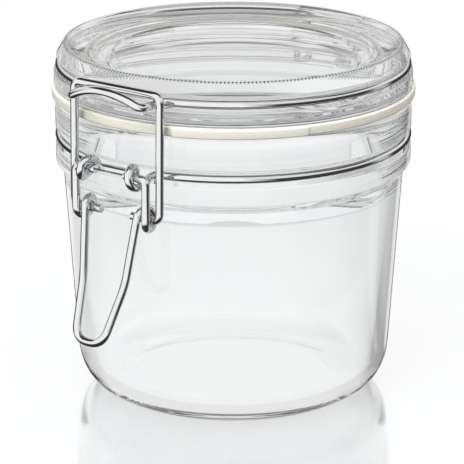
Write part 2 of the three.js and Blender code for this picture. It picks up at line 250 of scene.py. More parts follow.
def pressed_soda_lime_glass():
    """Soda-lime glass from an iron mould: clear, faintly blue-grey, slightly wavy from the press, with
    painted shade in the knurl's notches.
    """
    material = new_material("pressed_soda_lime_glass")
    tree = material.node_tree
    place = add_node(tree, "ShaderNodeTexCoord").outputs["Object"]
    # Cooling waves
    waves = add_node(tree, "ShaderNodeTexNoise", {
        "Vector": place, "Scale": 1 / GLASS_WAVE_SPACING, "Detail": 2.0, "Roughness": 0.4})
    bump = add_node(tree, "ShaderNodeBump", {
        "Height": waves.outputs["Fac"], "Strength": 1.0, "Distance": GLASS_WAVE_DEPTH})
    # Cords of slightly darker glass
    cords = add_node(tree, "ShaderNodeTexNoise", {
        "Vector": place, "Scale": 1 / GLASS_CORD_SPACING, "Detail": 1.0})
    tint = add_node(tree, "ShaderNodeMix", {
        "Factor": cords.outputs["Fac"], FIRST_COLOUR: linear("#fbfcfd"),
        SECOND_COLOUR: linear("#fdfefe")}, data_type="RGBA")
    # Painted shade: the knurl's notches are painted near black on their outer faces, standing in for
    # the light they lose
    notch = add_node(tree, "ShaderNodeAttribute", attribute_name="notch").outputs["Fac"]
    shade = add_node(tree, "ShaderNodeMapRange", {
        "Value": notch, "From Min": NOTCH_SHADE_START, "From Max": NOTCH_SHADE_END})
    inside = add_node(tree, "ShaderNodeNewGeometry").outputs["Backfacing"]
    painted_notch_shade = add_node(tree, "ShaderNodeMath", {
        0: shade.outputs[0], 1: inside}, operation="SUBTRACT", use_clamp=True)
    colour = add_node(tree, "ShaderNodeMix", {
        "Factor": painted_notch_shade.outputs[0], FIRST_COLOUR: tint.outputs[MIXED_COLOUR],
        SECOND_COLOUR: linear("#15171a")}, data_type="RGBA")
    shader = add_node(tree, "ShaderNodeBsdfPrincipled", {
        "Base Color": colour.outputs[MIXED_COLOUR], "Roughness": 0.0, "IOR": GLASS_IOR,
        "Transmission Weight": 1.0, "Normal": bump.outputs["Normal"]})
    add_node(tree, "ShaderNodeOutputMaterial", {"Surface": shader.outputs["BSDF"]})
    return material


def bright_drawn_steel():
    """Steel wire drawn bright through a die: a mirror with fine lines along its length."""
    material = new_material("bright_drawn_steel")
    tree = material.node_tree
    along = add_node(tree, "ShaderNodeAttribute", attribute_name="along").outputs["Fac"]
    around = add_node(tree, "ShaderNodeAttribute", attribute_name="around").outputs["Fac"]
    cosine = add_node(tree, "ShaderNodeMath", {0: around}, operation="COSINE")
    sine = add_node(tree, "ShaderNodeMath", {0: around}, operation="SINE")
    # The draw lines are drawn wider than real ones so that they show
    lines_per_radius = wire_radius / DRAW_LINE_WIDTH
    length = add_node(tree, "ShaderNodeMath", {
        0: along, 1: 1 / (DRAW_LINE_LENGTH * lines_per_radius)}, operation="MULTIPLY")
    unrolled = add_node(tree, "ShaderNodeCombineXYZ", {
        "X": cosine.outputs[0], "Y": sine.outputs[0], "Z": length.outputs[0]})
    lines = add_node(tree, "ShaderNodeTexNoise", {
        "Vector": unrolled.outputs[0], "Scale": lines_per_radius, "Detail": 4.0, "Roughness": 0.6})
    colour = add_node(tree, "ShaderNodeMix", {
        "Factor": lines.outputs["Fac"], FIRST_COLOUR: linear("#d2d3d4"),
        SECOND_COLOUR: linear("#e6e7e8")}, data_type="RGBA")
    roughness = add_node(tree, "ShaderNodeMapRange", {
        "Value": lines.outputs["Fac"], "From Min": DRAW_LINE_FAINT, "From Max": DRAW_LINE_STRONG,
        "To Min": STEEL_SMOOTHEST, "To Max": STEEL_ROUGHEST})
    bump = add_node(tree, "ShaderNodeBump", {
        "Height": lines.outputs["Fac"], "Strength": 1.0, "Distance": DRAW_LINE_DEPTH})
    shader = add_node(tree, "ShaderNodeBsdfPrincipled", {
        "Base Color": colour.outputs[MIXED_COLOUR], "Metallic": 1.0,
        "Roughness": roughness.outputs[0], "Normal": bump.outputs["Normal"]})
    add_node(tree, "ShaderNodeOutputMaterial", {"Surface": shader.outputs["BSDF"]})
    return material


def natural_rubber():
    """Cream natural rubber stamped from sheet: matt, with a fine talc bloom and warmer clouds."""
    material = new_material("natural_rubber")
    tree = material.node_tree
    place = add_node(tree, "ShaderNodeTexCoord").outputs["Object"]
    clouds = add_node(tree, "ShaderNodeTexNoise", {
        "Vector": place, "Scale": 1 / RUBBER_CLOUD_SPACING, "Detail": 3.0})
    grain = add_node(tree, "ShaderNodeTexNoise", {
        "Vector": place, "Scale": 1 / RUBBER_GRAIN, "Detail": 2.0})
    colour = add_node(tree, "ShaderNodeMix", {
        "Factor": clouds.outputs["Fac"], FIRST_COLOUR: linear("#f2ecdb"),
        SECOND_COLOUR: linear("#f9f5ea")}, data_type="RGBA")
    roughness = add_node(tree, "ShaderNodeMapRange", {
        "Value": grain.outputs["Fac"], "To Min": RUBBER_SMOOTHEST, "To Max": RUBBER_ROUGHEST})
    bump = add_node(tree, "ShaderNodeBump", {
        "Height": grain.outputs["Fac"], "Strength": 1.0, "Distance": RUBBER_GRAIN_DEPTH})
    shader = add_node(tree, "ShaderNodeBsdfPrincipled", {
        "Base Color": colour.outputs[MIXED_COLOUR], "Roughness": roughness.outputs[0],
        "IOR": RUBBER_IOR, "Normal": bump.outputs["Normal"]})
    add_node(tree, "ShaderNodeOutputMaterial", {"Surface": shader.outputs["BSDF"]})
    return material


def new_tree(name, sockets):
    """A Geometry Nodes tree with the named inputs, and the sockets that give their values."""
    tree = bpy.data.node_groups.new(name, "GeometryNodeTree")
    tree.interface.new_socket("Geometry", in_out="OUTPUT", socket_type="NodeSocketGeometry")
    tree.interface.new_socket("Geometry", in_out="INPUT", socket_type="NodeSocketGeometry")
    for socket, kind in sockets.items():
        tree.interface.new_socket(socket, in_out="INPUT", socket_type=kind)
    return tree, add_node(tree, "NodeGroupInput").outputs


def end_tree(tree, geometry, finish):
    """Smooth shading that breaks at sharp edges, one real mesh, and its material."""
    angle = add_node(tree, "GeometryNodeInputMeshEdgeAngle")
    sharp = add_node(tree, "FunctionNodeCompare", {
        0: angle.outputs["Unsigned Angle"], 1: SHARP_ANGLE}, operation="GREATER_THAN")
    smooth = add_node(tree, "GeometryNodeSetShadeSmooth", {
        "Geometry": geometry, "Shade Smooth": True})
    edges = add_node(tree, "GeometryNodeSetShadeSmooth", {
        "Geometry": smooth.outputs[0], "Selection": sharp.outputs[0],
        "Shade Smooth": False}, domain="EDGE")
    real = add_node(tree, "GeometryNodeRealizeInstances", {"Geometry": edges.outputs[0]})
    finished = add_node(tree, "GeometryNodeSetMaterial", {
        "Geometry": real.outputs[0], "Material": finish})
    add_node(tree, "NodeGroupOutput", {"Geometry": finished.outputs[0]})


def bent_wire_tree():
    """A round wire along a line of points, with its cut ends rounded over."""
    tree, given = new_tree("bent_wire", {
        "Wire Radius": "NodeSocketFloat", "Sides": "NodeSocketInt", "End Bevel": "NodeSocketFloat",
        "End Size": "NodeSocketFloat", "Finish": "NodeSocketMaterial"})
    line = add_node(tree, "GeometryNodeMeshToCurve", {"Mesh": given["Geometry"]})
    place = add_node(tree, "GeometryNodeSplineParameter")
    total = add_node(tree, "GeometryNodeSplineLength")
    rest = add_node(tree, "ShaderNodeMath", {
        0: total.outputs["Length"], 1: place.outputs["Length"]}, operation="SUBTRACT")
    nearest = add_node(tree, "ShaderNodeMath", {
        0: place.outputs["Length"], 1: rest.outputs[0]}, operation="MINIMUM")
    share = add_node(tree, "ShaderNodeMapRange", {
        "Value": nearest.outputs[0], "From Max": given["End Bevel"],
        "To Min": given["End Size"], "To Max": 1.0}, interpolation_type="SMOOTHERSTEP")
    sized = add_node(tree, "GeometryNodeSetCurveRadius", {
        "Curve": line.outputs[0], "Radius": share.outputs[0]})
    lengthwise = add_node(tree, "GeometryNodeStoreNamedAttribute", {
        "Geometry": sized.outputs[0], "Name": "along", "Value": place.outputs["Length"]})
    section = add_node(tree, "GeometryNodeCurvePrimitiveCircle", {
        "Resolution": given["Sides"], "Radius": given["Wire Radius"]})
    turn = add_node(tree, "ShaderNodeMath", {
        0: place.outputs["Factor"], 1: FULL_TURN}, operation="MULTIPLY")
    crosswise = add_node(tree, "GeometryNodeStoreNamedAttribute", {
        "Geometry": section.outputs[0], "Name": "around", "Value": turn.outputs[0]})
    swept = add_node(tree, "GeometryNodeCurveToMesh", {
        "Curve": lengthwise.outputs[0], "Profile Curve": crosswise.outputs[0], "Fill Caps": True})
    end_tree(tree, swept.outputs[0], given["Finish"])
    return tree


def turned_glass_tree():
    """A profile of points turned about the jar's axis, with a knurl where its points ask for one."""
    tree, given = new_tree("turned_glass", {
        "Segments": "NodeSocketInt", "Knurl Count": "NodeSocketInt", "Knurl Depth": "NodeSocketFloat",
        "Finish": "NodeSocketMaterial"})
    profile = given["Geometry"]
    size = add_node(tree, "GeometryNodeAttributeDomainSize", {"Geometry": profile})
    rows = size.outputs["Point Count"]
    columns = add_node(tree, "ShaderNodeMath", {0: given["Segments"], 1: 1.0}, operation="ADD")
    sheet = add_node(tree, "GeometryNodeMeshGrid", {
        "Vertices X": columns.outputs[0], "Vertices Y": rows})
    index = add_node(tree, "GeometryNodeInputIndex").outputs[0]
    row = add_node(tree, "FunctionNodeIntegerMath", {0: index, 1: rows}, operation="MODULO")
    column = add_node(tree, "FunctionNodeIntegerMath", {
        0: index, 1: rows}, operation="DIVIDE_FLOOR")
    step = add_node(tree, "ShaderNodeMath", {
        0: FULL_TURN, 1: given["Segments"]}, operation="DIVIDE")
    angle = add_node(tree, "ShaderNodeMath", {
        0: column.outputs[0], 1: step.outputs[0]}, operation="MULTIPLY")
    position = add_node(tree, "GeometryNodeInputPosition").outputs[0]
    corner = add_node(tree, "GeometryNodeSampleIndex", {
        "Geometry": profile, "Value": position, "Index": row.outputs[0]}, data_type="FLOAT_VECTOR")
    asked = add_node(tree, "GeometryNodeInputNamedAttribute", {"Name": "knurl"})
    knurled = add_node(tree, "GeometryNodeSampleIndex", {
        "Geometry": profile, "Value": asked.outputs[0], "Index": row.outputs[0]})
    at = add_node(tree, "ShaderNodeSeparateXYZ", {0: corner.outputs[0]})
    # Grooves of the knurl, between none and the full depth
    phase = add_node(tree, "ShaderNodeMath", {
        0: angle.outputs[0], 1: given["Knurl Count"]}, operation="MULTIPLY")
    wave = add_node(tree, "ShaderNodeMath", {0: phase.outputs[0]}, operation="COSINE")
    cut = add_node(tree, "ShaderNodeMapRange", {
        "Value": wave.outputs[0], "From Min": -1.0, "From Max": 1.0,
        "To Max": given["Knurl Depth"]})
    depth = add_node(tree, "ShaderNodeMath", {
        0: cut.outputs[0], 1: knurled.outputs[0]}, operation="MULTIPLY")
    height = add_node(tree, "ShaderNodeMath", {
        0: at.outputs["Z"], 1: depth.outputs[0]}, operation="SUBTRACT")
    cosine = add_node(tree, "ShaderNodeMath", {0: angle.outputs[0]}, operation="COSINE")
    sine = add_node(tree, "ShaderNodeMath", {0: angle.outputs[0]}, operation="SINE")
    x = add_node(tree, "ShaderNodeMath", {
        0: at.outputs["X"], 1: cosine.outputs[0]}, operation="MULTIPLY")
    y = add_node(tree, "ShaderNodeMath", {
        0: at.outputs["X"], 1: sine.outputs[0]}, operation="MULTIPLY")
    spot = add_node(tree, "ShaderNodeCombineXYZ", {
        "X": x.outputs[0], "Y": y.outputs[0], "Z": height.outputs[0]})
    formed = add_node(tree, "GeometryNodeSetPosition", {
        "Geometry": sheet.outputs["Mesh"], "Position": spot.outputs[0]})
    marked = add_node(tree, "GeometryNodeStoreNamedAttribute", {
        "Geometry": formed.outputs[0], "Name": "notch", "Value": depth.outputs[0]})
    closed = add_node(tree, "GeometryNodeMergeByDistance", {
        "Geometry": marked.outputs[0], "Distance": MERGE_DISTANCE})
    end_tree(tree, closed.outputs[0], given["Finish"])
    return tree


def shaped(name, tree, guide, values):
    """A plain mesh piece, made by a Geometry Nodes tree from a guide line of points."""
    piece = bpy.data.objects.new(name, guide)
    bpy.context.scene.collection.objects.link(piece)
    modifier = piece.modifiers.new("shape", "NODES")
    modifier.node_group = tree
    for item in tree.interface.items_tree:
        if item.in_out == "INPUT" and item.name in values:
            modifier[item.identifier] = values[item.name]
    depsgraph = bpy.context.evaluated_depsgraph_get()
    made = bpy.data.meshes.new_from_object(piece.evaluated_get(depsgraph), depsgraph=depsgraph)
    piece.modifiers.remove(modifier)
    piece.data = made
    made.name = name
    return piece


def line_mesh(name, points, closed=False):
    """A mesh of edges alone that joins the points in turn."""
    edges = [(i, i + 1) for i in range(len(points) - 1)]
    if closed:
        edges.append((len(points) - 1, 0))
    mesh = bpy.data.meshes.new(name)
    mesh.from_pydata(points, edges, [])
    return mesh


def rounded_corner(before, corner, after, radius, steps):
    """Points round a corner, as the source rounds it."""
    back = before - corner
    ahead = after - corner
    half_turn = (math.pi - back.angle(ahead)) / 2
    inset = min(radius * math.tan(half_turn), back.length / 2, ahead.length / 2)
    start = corner + back.normalized() * inset
    end = corner + ahead.normalized() * inset
    shares = [i / steps for i in range(steps + 1)]
    return [start * (1 - t) ** 2 + corner * 2 * t * (1 - t) + end * t * t for t in shares]


def front(x, out, z):
    """A point by its distance out from the jar's axis towards the clip."""
    return Vector((x, -out, z))


def mirror_x(line):
    """The other side's line, run back from where this one ends."""
    return [Vector((-p.x, p.y, p.z)) for p in reversed(line)]


def mirror_y(line):
    """The line behind the jar, run back from where this one ends."""
    return [Vector((p.x, -p.y, p.z)) for p in reversed(line)]


def bent_line(corners, radius):
    """Straight runs joined by bends, as a wire is bent round a former."""
    line = [corners[0]]
    for before, corner, after in zip(corners, corners[1:], corners[2:]):
        line += rounded_corner(before, corner, after, radius, BEND_STEPS)
    return line + [corners[-1]]


def ring_arc(radius, z, start, end):
    """A level arc about the jar's axis, by bearings measured from the clip towards +X."""
    count = math.ceil(abs(end - start) / RING_STEP_ANGLE)
    bearings = [start + (end - start) * i / count for i in range(count + 1)]
    return [front(radius * math.sin(b), radius * math.cos(b), z) for b in bearings]


def loop(centre_out, centre_z, x_start, x_end, angle_start, angle_end):
    """A loop about an axis along X. Angle 0 is the jar's side, and the loop first climbs."""
    count = math.ceil(abs(angle_end - angle_start) / LOOP_STEP_ANGLE)
    line = []
    for i in range(count + 1):
        angle = angle_start + (angle_end - angle_start) * i / count
        x = x_start + (x_end - x_start) * i / count
        line.append(front(x, centre_out - loop_radius * math.cos(angle),
                          centre_z + loop_radius * math.sin(angle)))
    return line


def neck_wire_line():
    """A ring in the collar's groove, with a pair of eyelets in front and another behind."""
    bar_out = eyelet_out - loop_radius
    x_in = eyelet_x - EYELET_PITCH / 2
    x_out = eyelet_x + EYELET_PITCH / 2
    ring_out = math.sqrt(neck_wire_radius ** 2 - x_out ** 2)
    slope = math.asin(loop_radius / math.hypot(eyelet_out - ring_out, EYELET_RISE))
    slope -= math.atan2(EYELET_RISE, eyelet_out - ring_out)
    eyelet = loop(eyelet_out, eyelet_z, x_in, x_out, LOOP_STEP_ANGLE, 1.5 * math.pi + slope)
    bar = bent_line([front(0, bar_out, eyelet_z), front(x_in, bar_out, eyelet_z), eyelet[0]],
                    PEG_BEND_RADIUS)
    rejoin = math.asin(x_out / neck_wire_radius) + 2 * BEND_RADIUS / neck_wire_radius
    ring = ring_arc(neck_wire_radius, neck_wire_z, rejoin, math.pi / 2)
    step = bent_line([eyelet[-1], front(x_out, ring_out, neck_wire_z), ring[0]], BEND_RADIUS)
    quarter = bar + eyelet + step + ring
    half = quarter + mirror_y(quarter)
    return half + mirror_x(half)


def nose_half(ring_out, ring_start):
    """A bow that dips at its ends, and the side that runs back to the lid wire's ring."""
    crest_out = flange_radius + NOSE_REACH
    corner = front(nose_x, crest_out - NOSE_SETBACK, lid_wire_z)
    pull = front(0, crest_out + NOSE_SETBACK, lid_wire_z + 2 * NOSE_RISE)
    start = mirror_x([corner])[0]
    shares = [i / BOW_STEPS for i in range(BOW_STEPS // 2, BOW_STEPS - BOW_BEND_STEPS + 1)]
    rise = [start * (1 - t) ** 2 + pull * 2 * t * (1 - t) + corner * t * t for t in shares]
    side = bent_line([rise[-1], corner, front(nose_x, ring_out(nose_x), lid_wire_z), ring_start],
                     BEND_RADIUS)
    return rise + side


def lid_wire_line():
    """Hinge pegs, upright legs, a ring in the lid's groove and the nose that the clip holds."""
    def ring_out(x):
        return math.sqrt(lid_wire_radius ** 2 - x ** 2)

    join_bend = 2 * BEND_RADIUS / lid_wire_radius
    nose_bearing = math.asin(nose_x / lid_wire_radius) + join_bend
    leg_bearing = math.pi - math.asin(link_x / lid_wire_radius) - join_bend
    ring = ring_arc(lid_wire_radius, lid_wire_z, nose_bearing, leg_bearing)
    leg = bent_line([ring[-1], front(link_x, -ring_out(link_x), lid_wire_z),
                     front(link_x, -eyelet_out, lid_wire_z),
                     front(link_x, -eyelet_out, lid_wire_z - 2 * BEND_RADIUS)], BEND_RADIUS)
    peg = bent_line([leg[-1], front(link_x, -eyelet_out, eyelet_z),
                     front(peg_end_x, -eyelet_out, eyelet_z)], PEG_BEND_RADIUS)
    half = nose_half(ring_out, ring[0]) + ring + leg + peg
    return mirror_x(half) + half


def clip_line():
    """A bar over the nose and two legs whose ends turn in through the lever's coils."""
    half = bent_line([front(0, seat_out, seat_z), front(leg_x, seat_out, seat_z),
                      front(leg_x, coil_out, coil_z),
                      front(coil_end_x - wire_radius - CLIP_PEG_PROUD, coil_out, coil_z)], BEND_RADIUS)
    return mirror_x(half) + half


def lever_line():
    """Pegs in the eyelets, links, a coil on each side for the clip, and the finger loop."""
    coil_side = coil_out + loop_radius
    coil = loop(coil_out, coil_z, link_x, coil_end_x, math.pi, 3 * math.pi)
    link = bent_line([front(peg_end_x, eyelet_out, eyelet_z), front(link_x, eyelet_out, eyelet_z),
                      front(link_x, coil_side, coil_z + loop_radius), coil[0]], PEG_BEND_RADIUS)
    side = [front(KNEE_HALF_WIDTH, coil_side + KNEE_OUT, coil_z - KNEE_DROP),
            front(FINGER_END_HALF_WIDTH, coil_side + LEVER_KICK, coil_z - LEVER_LENGTH)]
    end = bent_line(side + mirror_x(side), FINGER_BEND_RADIUS)
    knee = bent_line([coil[-1], side[0], end[1]], KNEE_BEND_RADIUS)
    half = link + coil
    return half + knee + end[2:-2] + mirror_x(knee) + mirror_x(half)


def cut_end(line):
    """A wire's first end with the extra points that its rounding needs, run in from the cut."""
    run = (line[1] - line[0]).normalized()
    return [line[0] + run * CUT_BEVEL * i / CUT_STEPS for i in range(CUT_STEPS + 1)] + line[1:]


def without_doubles(line):
    """Points that nearly coincide are one point of the wire."""
    kept = line[:1]
    for p in line[1:]:
        if (p - kept[-1]).length > DOUBLE_DISTANCE:
            kept.append(p)
    return kept


def wire_piece(name, tree, line, closed, finish):
    """A bent wire along a line, either a closed ring or with two cut ends."""
    line = without_doubles(line)
    if closed and (line[-1] - line[0]).length < DOUBLE_DISTANCE:
        line.pop()
    if not closed:
        line = cut_end(line)
        line = cut_end(line[::-1])
    return shaped(name, tree, line_mesh(name, line, closed), {
        "Wire Radius": wire_radius, "Sides": WIRE_SIDES, "End Bevel": CUT_BEVEL,
        "End Size": 1.0 if closed else CUT_SIZE, "Finish": finish})


def neck_groove():
    """Corners of the groove that the neck wire lies in, between the collar's two bands."""
    low = neck_wire_z - groove_half
    high = neck_wire_z + groove_half
    return [
        (collar_radius, low - GROOVE_FLARE, wire_radius / 2),
        (neck_root_radius, low, groove_half),
        (neck_root_radius, high, groove_half),
        (collar_radius, high + GROOVE_FLARE, wire_radius / 2),
    ]


def body_corners():
    """Corners of the jar's profile, from the base round to the inside.

    A corner has a radius and a height, and may have a fillet and the steps that it is made in.
    """
    foot_radius = BODY_RADIUS - BODY_TAPER
    floor_radius = foot_radius - BODY_WALL
    return [
        (0, 0),
        (foot_radius, 0, HEEL_FILLET, LARGE_FILLET_STEPS),
        (BODY_RADIUS, shoulder_z, COLLAR_STEP),
        (collar_radius, lower_band_bottom, COLLAR_STEP / 2),
        *neck_groove(),
        (collar_radius, MOUTH_HEIGHT, LAND_FILLET),
        (mouth_radius, MOUTH_HEIGHT, LAND_FILLET / 2),
        (mouth_radius, shoulder_z, MOUTH_SHOULDER / 2),
        (BODY_RADIUS - BODY_WALL, shoulder_z - MOUTH_SHOULDER, MOUTH_SHOULDER / 2),
        # The floor is a shallow bowl that runs into the wall without an edge
        (floor_radius, FLOOR_THICKNESS + FLOOR_RISE, WALL_FOOT_FILLET, LARGE_FILLET_STEPS),
        (floor_radius - FLOOR_BORDER, FLOOR_THICKNESS, FLOOR_FILLET, LARGE_FILLET_STEPS),
        (0, FLOOR_THICKNESS - FLOOR_DISH),
    ]


def lid_corners():
    """Corners of the lid's profile, from the underside round to the top."""
    plug_radius = mouth_radius - PLUG_SIDE_GAP
    plug_foot = plug_radius - PLUG_TAPER
    plug_bottom = flange_bottom - PLUG_DEPTH
    underside_z = panel_z - PANEL_THICKNESS
    dish_radius = crest_radius - CREST_WIDTH - DISH_SLOPE
    ring_radius = dish_radius - DISH_BORDER
    panel_radius = ring_radius - RING_STEP - RING_WIDTH
    # The knurl's share of the sloped face
    knurl_share = KNURL_HEIGHT / (RIM_HEIGHT - GROOVE_FLARE / 2)
    return [
        (0, underside_z),
        (plug_foot - PLUG_WALL - GLASS_EDGE, underside_z, GLASS_EDGE),
        (plug_foot - PLUG_WALL, plug_bottom, GLASS_EDGE),
        (plug_foot, plug_bottom, 2 * GLASS_EDGE),
        (plug_radius, flange_bottom, GLASS_EDGE),
        (flange_radius, flange_bottom, GLASS_EDGE),
        (flange_radius, flange_top, GLASS_EDGE),
        (lid_root_radius, lid_wire_z - groove_half, groove_half / 2),
        (lid_root_radius, rim_bottom, groove_half / 2),
        (rim_radius, rim_bottom + GROOVE_FLARE / 2, GLASS_EDGE),
        (crest_radius + RIM_SLOPE * knurl_share, crest_z - KNURL_HEIGHT),
        (crest_radius, crest_z, GLASS_EDGE),
        (crest_radius - CREST_WIDTH, crest_z, GLASS_EDGE),
        (dish_radius, dish_z, DISH_DEPTH, LARGE_FILLET_STEPS),
        (ring_radius, dish_z, RING_STEP),
        (ring_radius - RING_STEP, dish_z - RING_STEP, RING_STEP),
        (panel_radius, dish_z - RING_STEP, RING_STEP),
        (panel_radius - RING_STEP, panel_z, RING_STEP),
        (0, panel_z),
    ]


def profile_line(corners):
    """A profile's rounded points in the XZ plane."""
    spots = [Vector((c[0], 0, c[1])) for c in corners]
    line = [spots[0]]
    for i in range(1, len(corners) - 1):
        rounding = corners[i][2:]
        if rounding:
            fillet, steps = (*rounding, FILLET_STEPS)[:2]
            line += rounded_corner(spots[i - 1], spots[i], spots[i + 1], fillet, steps)
        else:
            line.append(spots[i])
    return line + [spots[-1]]


def glass_piece(name, tree, corners, segments, finish):
    """A glass piece turned from its profile."""
    line = profile_line(corners)
    mesh = line_mesh(name, line)
    knurl = mesh.attributes.new("knurl", "FLOAT", "POINT")
    # Only the outer edge of the lid's crest is knurled
    knurl.data.foreach_set("value", [
        float(p.z > crest_z - GLASS_EDGE and p.x > crest_radius - CREST_WIDTH / 2) for p in line])
    return shaped(name, tree, mesh, {
        "Segments": segments, "Knurl Count": KNURL_COUNT, "Knurl Depth": KNURL_DEPTH, "Finish": finish})


def gasket_piece(name, finish):
    """A flat ring with rounded edges and a low tab to pull it by, beside the clip."""
    tab_start = math.atan2(leg_x + wire_radius + TAB_CLIP_GAP, gasket_radius)
    tab_end = tab_start + TAB_ANGLE
    inner = mouth_radius + GASKET_SETBACK
    bearings = [FULL_TURN * i / GASKET_SEGMENTS for i in range(GASKET_SEGMENTS)]
    # A tab's end is a radial step, with a bearing on each side of it and no other one near it
    clear_angle = GASKET_EDGE / gasket_radius
    step_angle = clear_angle * TAB_STEP_SHARE
    bearings = [b for b in bearings if min(abs(b - tab_start), abs(b - tab_end)) > clear_angle]
    for tab_edge in (tab_start, tab_end):
        bearings += [tab_edge - step_angle, tab_edge + step_angle]
    bearings.sort()
    quarter = [math.pi / 2 * i / FILLET_STEPS for i in range(FILLET_STEPS + 1)]
    section = []
    for side_out, side_up, turns in ((1, -1, quarter[::-1]), (1, 1, quarter),
                                     (0, 1, quarter[::-1]), (0, -1, quarter)):
        for turn in turns:
            section.append((side_out, (1 - math.cos(turn)) * GASKET_EDGE,
                            side_up, (1 - math.sin(turn)) * GASKET_EDGE))
    points = []
    for bearing in bearings:
        outer = gasket_radius + (TAB_PROUD if tab_start < bearing < tab_end else 0)
        for side_out, inset, side_up, drop in section:
            radius = outer - inset if side_out else inner + inset
            low = gasket_bottom + drop
            high = gasket_bottom + GASKET_THICKNESS - drop
            points.append(front(radius * math.sin(bearing), radius * math.cos(bearing),
                                high if side_up > 0 else low))
    count = len(section)
    faces = []
    for i in range(len(bearings)):
        ahead = (i + 1) % len(bearings)
        for k in range(count):
            after = (k + 1) % count
            faces.append((i * count + k, ahead * count + k, ahead * count + after, i * count + after))
    mesh = bpy.data.meshes.new(name)
    mesh.from_pydata(points, [], faces)
    mesh.shade_smooth()
    mesh.set_sharp_from_angle(angle=SHARP_ANGLE)
    mesh.materials.append(finish)
    piece = bpy.data.objects.new(name, mesh)
    bpy.context.scene.collection.objects.link(piece)
    return piece


# The pieces, each on its body and in the place of its solid
glass = pressed_soda_lime_glass()
steel = bright_drawn_steel()
rubber = natural_rubber()
wire_tree = bent_wire_tree()
glass_tree = turned_glass_tree()
pieces = [
    (glass_piece("jar_glass", glass_tree, body_corners(), BODY_SEGMENTS, glass),
     "jar", "jar_body", "clear_glass"),
    (glass_piece("lid_glass", glass_tree, lid_corners(), LID_SEGMENTS, glass),
     "lid", "lid", "clear_glass"),
    (gasket_piece("rubber_ring", rubber), "lid", "gasket", "cream_rubber"),
    (wire_piece("neck_ring_wire", wire_tree, neck_wire_line(), True, steel),
     "jar", "neck_wire", "steel_wire"),
    (wire_piece("lid_ring_wire", wire_tree, lid_wire_line(), False, steel),
     "lid", "lid_wire", "steel_wire"),
    (wire_piece("lever_wire", wire_tree, lever_line(), False, steel), "lever", "lever", "steel_wire"),
    (wire_piece("clip_wire", wire_tree, clip_line(), False, steel), "clip", "clip", "steel_wire"),
]
for piece, body, node, slot in pieces:
    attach(piece, body)
    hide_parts(node)

# Camera at the photograph's angle, a little to the left of the jar's axis
VIEW_AZIMUTH = math.radians(36.5)
VIEW_DISTANCE = 0.6604
VIEW_HEIGHT = 0.2618
VIEW_OFFSET = 0.4 * MM
AIM_HEIGHT = 0.0443
FOCAL_LENGTH = 186.2

view_right = Vector((math.cos(VIEW_AZIMUTH), math.sin(VIEW_AZIMUTH), 0))
view_front = Vector((math.sin(VIEW_AZIMUTH), -math.cos(VIEW_AZIMUTH), 0))
aim_point = Vector((0, 0, AIM_HEIGHT)) - view_right * VIEW_OFFSET
camera = bpy.data.objects.new("camera", bpy.data.cameras.new("camera"))
camera.data.lens = FOCAL_LENGTH
camera.location = aim_point + front(VIEW_DISTANCE * math.sin(VIEW_AZIMUTH),
                                    VIEW_DISTANCE * math.cos(VIEW_AZIMUTH), VIEW_HEIGHT - AIM_HEIGHT)
camera.rotation_euler = (aim_point - camera.location).to_track_quat("-Z", "Y").to_euler()
bpy.context.scene.collection.objects.link(camera)
bpy.context.scene.camera = camera


# Softboxes, and the table with the distances from the jar over which its light changes
SOFTBOX_DISTANCE = 0.9
TABLE_SIDE = 6.0
TABLE_DROP = 0.1 * MM
# Distances over which the table's painted pool of light under the jar fades
PAINTED_POOL_SPAN = (50 * MM, 500 * MM)
NEAR_SPAN = (90 * MM, 180 * MM)
SHEEN_ROUGHNESS = 0.12

# Light levels, where one is white, and shares of the table's own glow and sheen
PLAIN_LEVEL = 0.6
LEFT_LEVEL = 0.86
RIGHT_LEVEL = 0.5
PANEL_LEVEL = 1.2
GAP_LEVEL = 0.04
INSIDE_LEVEL = 0.82
# Level to which the table's painted pool of light fades far from the jar
FAR_TABLE_LEVEL = 0.75
NEAR_GLOW_SHARE = 0.65
NEAR_SHEEN_SHARE = 0.7

# Spans of how far a ray points to the right, to the front or up, over which a level changes
LEFT_SPAN = (-0.9, -0.35)
RIGHT_SPAN = (0.35, 0.9)
FRONT_SPAN = (0.1, 0.25)
OVERHEAD_SPAN = (0.02, 0.28)
HIGH_SPAN = (0.52, 0.62)
# Rays that point further down mirror a dark table, which the inside of the glass never does
WIRE_BELOW_SPAN = (-0.5, -0.36)
FACE_BELOW_SPAN = (-0.985, -0.95)
INSIDE_BELOW_SPAN = (-2, -1)

# Panels round the jar: bearings in degrees, from the photograph's side to the right, and levels
WIRE_PANELS = (
    (-174, 1), (-167, 0.04), (-98, 0.04), (-88, 1.2), (6, 1.2), (26, 0.06), (92, 0.06),
    (100, 0.6), (110, 0.6), (116, 0.04), (167, 0.04), (174, 1))
FACE_PANELS = (
    (-168, 0.05), (-163, 1), (-120, 1), (-98, 0.7), (6, 0.7), (26, 0.06), (92, 0.06),
    (100, 0.6), (110, 0.6), (116, 0.04), (148, 0.04), (153, 0.9), (163, 0.9), (168, 0.05))
INSIDE_PANELS = (
    (-176, 0.97), (-168, 1.1), (-150, 1.1), (-140, 0.8), (-110, 0.8), (-95, 1), (40, 1),
    (70, 0.9), (88, 0.6), (112, 0.6), (126, 0.85), (165, 0.85), (176, 0.97))

# Light that is caught inside the glass needs many bounces, or it ends black
LIGHT_BOUNCES = 32
MIRROR_BOUNCES = 24


def softbox(name, azimuth, elevation, size, power):
    """A square area lamp that faces the jar, placed by its direction from it in degrees."""
    lamp = bpy.data.lights.new(name, "AREA")
    lamp.size = size
    lamp.energy = power
    box = bpy.data.objects.new(name, lamp)
    bearing = math.radians(azimuth)
    climb = math.radians(elevation)
    towards = front(math.sin(bearing) * math.cos(climb), math.cos(bearing) * math.cos(climb),
                    math.sin(climb))
    box.location = towards * SOFTBOX_DISTANCE + Vector((0, 0, AIM_HEIGHT))
    box.rotation_euler = (-towards).to_track_quat("-Z", "Y").to_euler()
    box.visible_glossy = False
    box.visible_transmission = False
    bpy.context.scene.collection.objects.link(box)


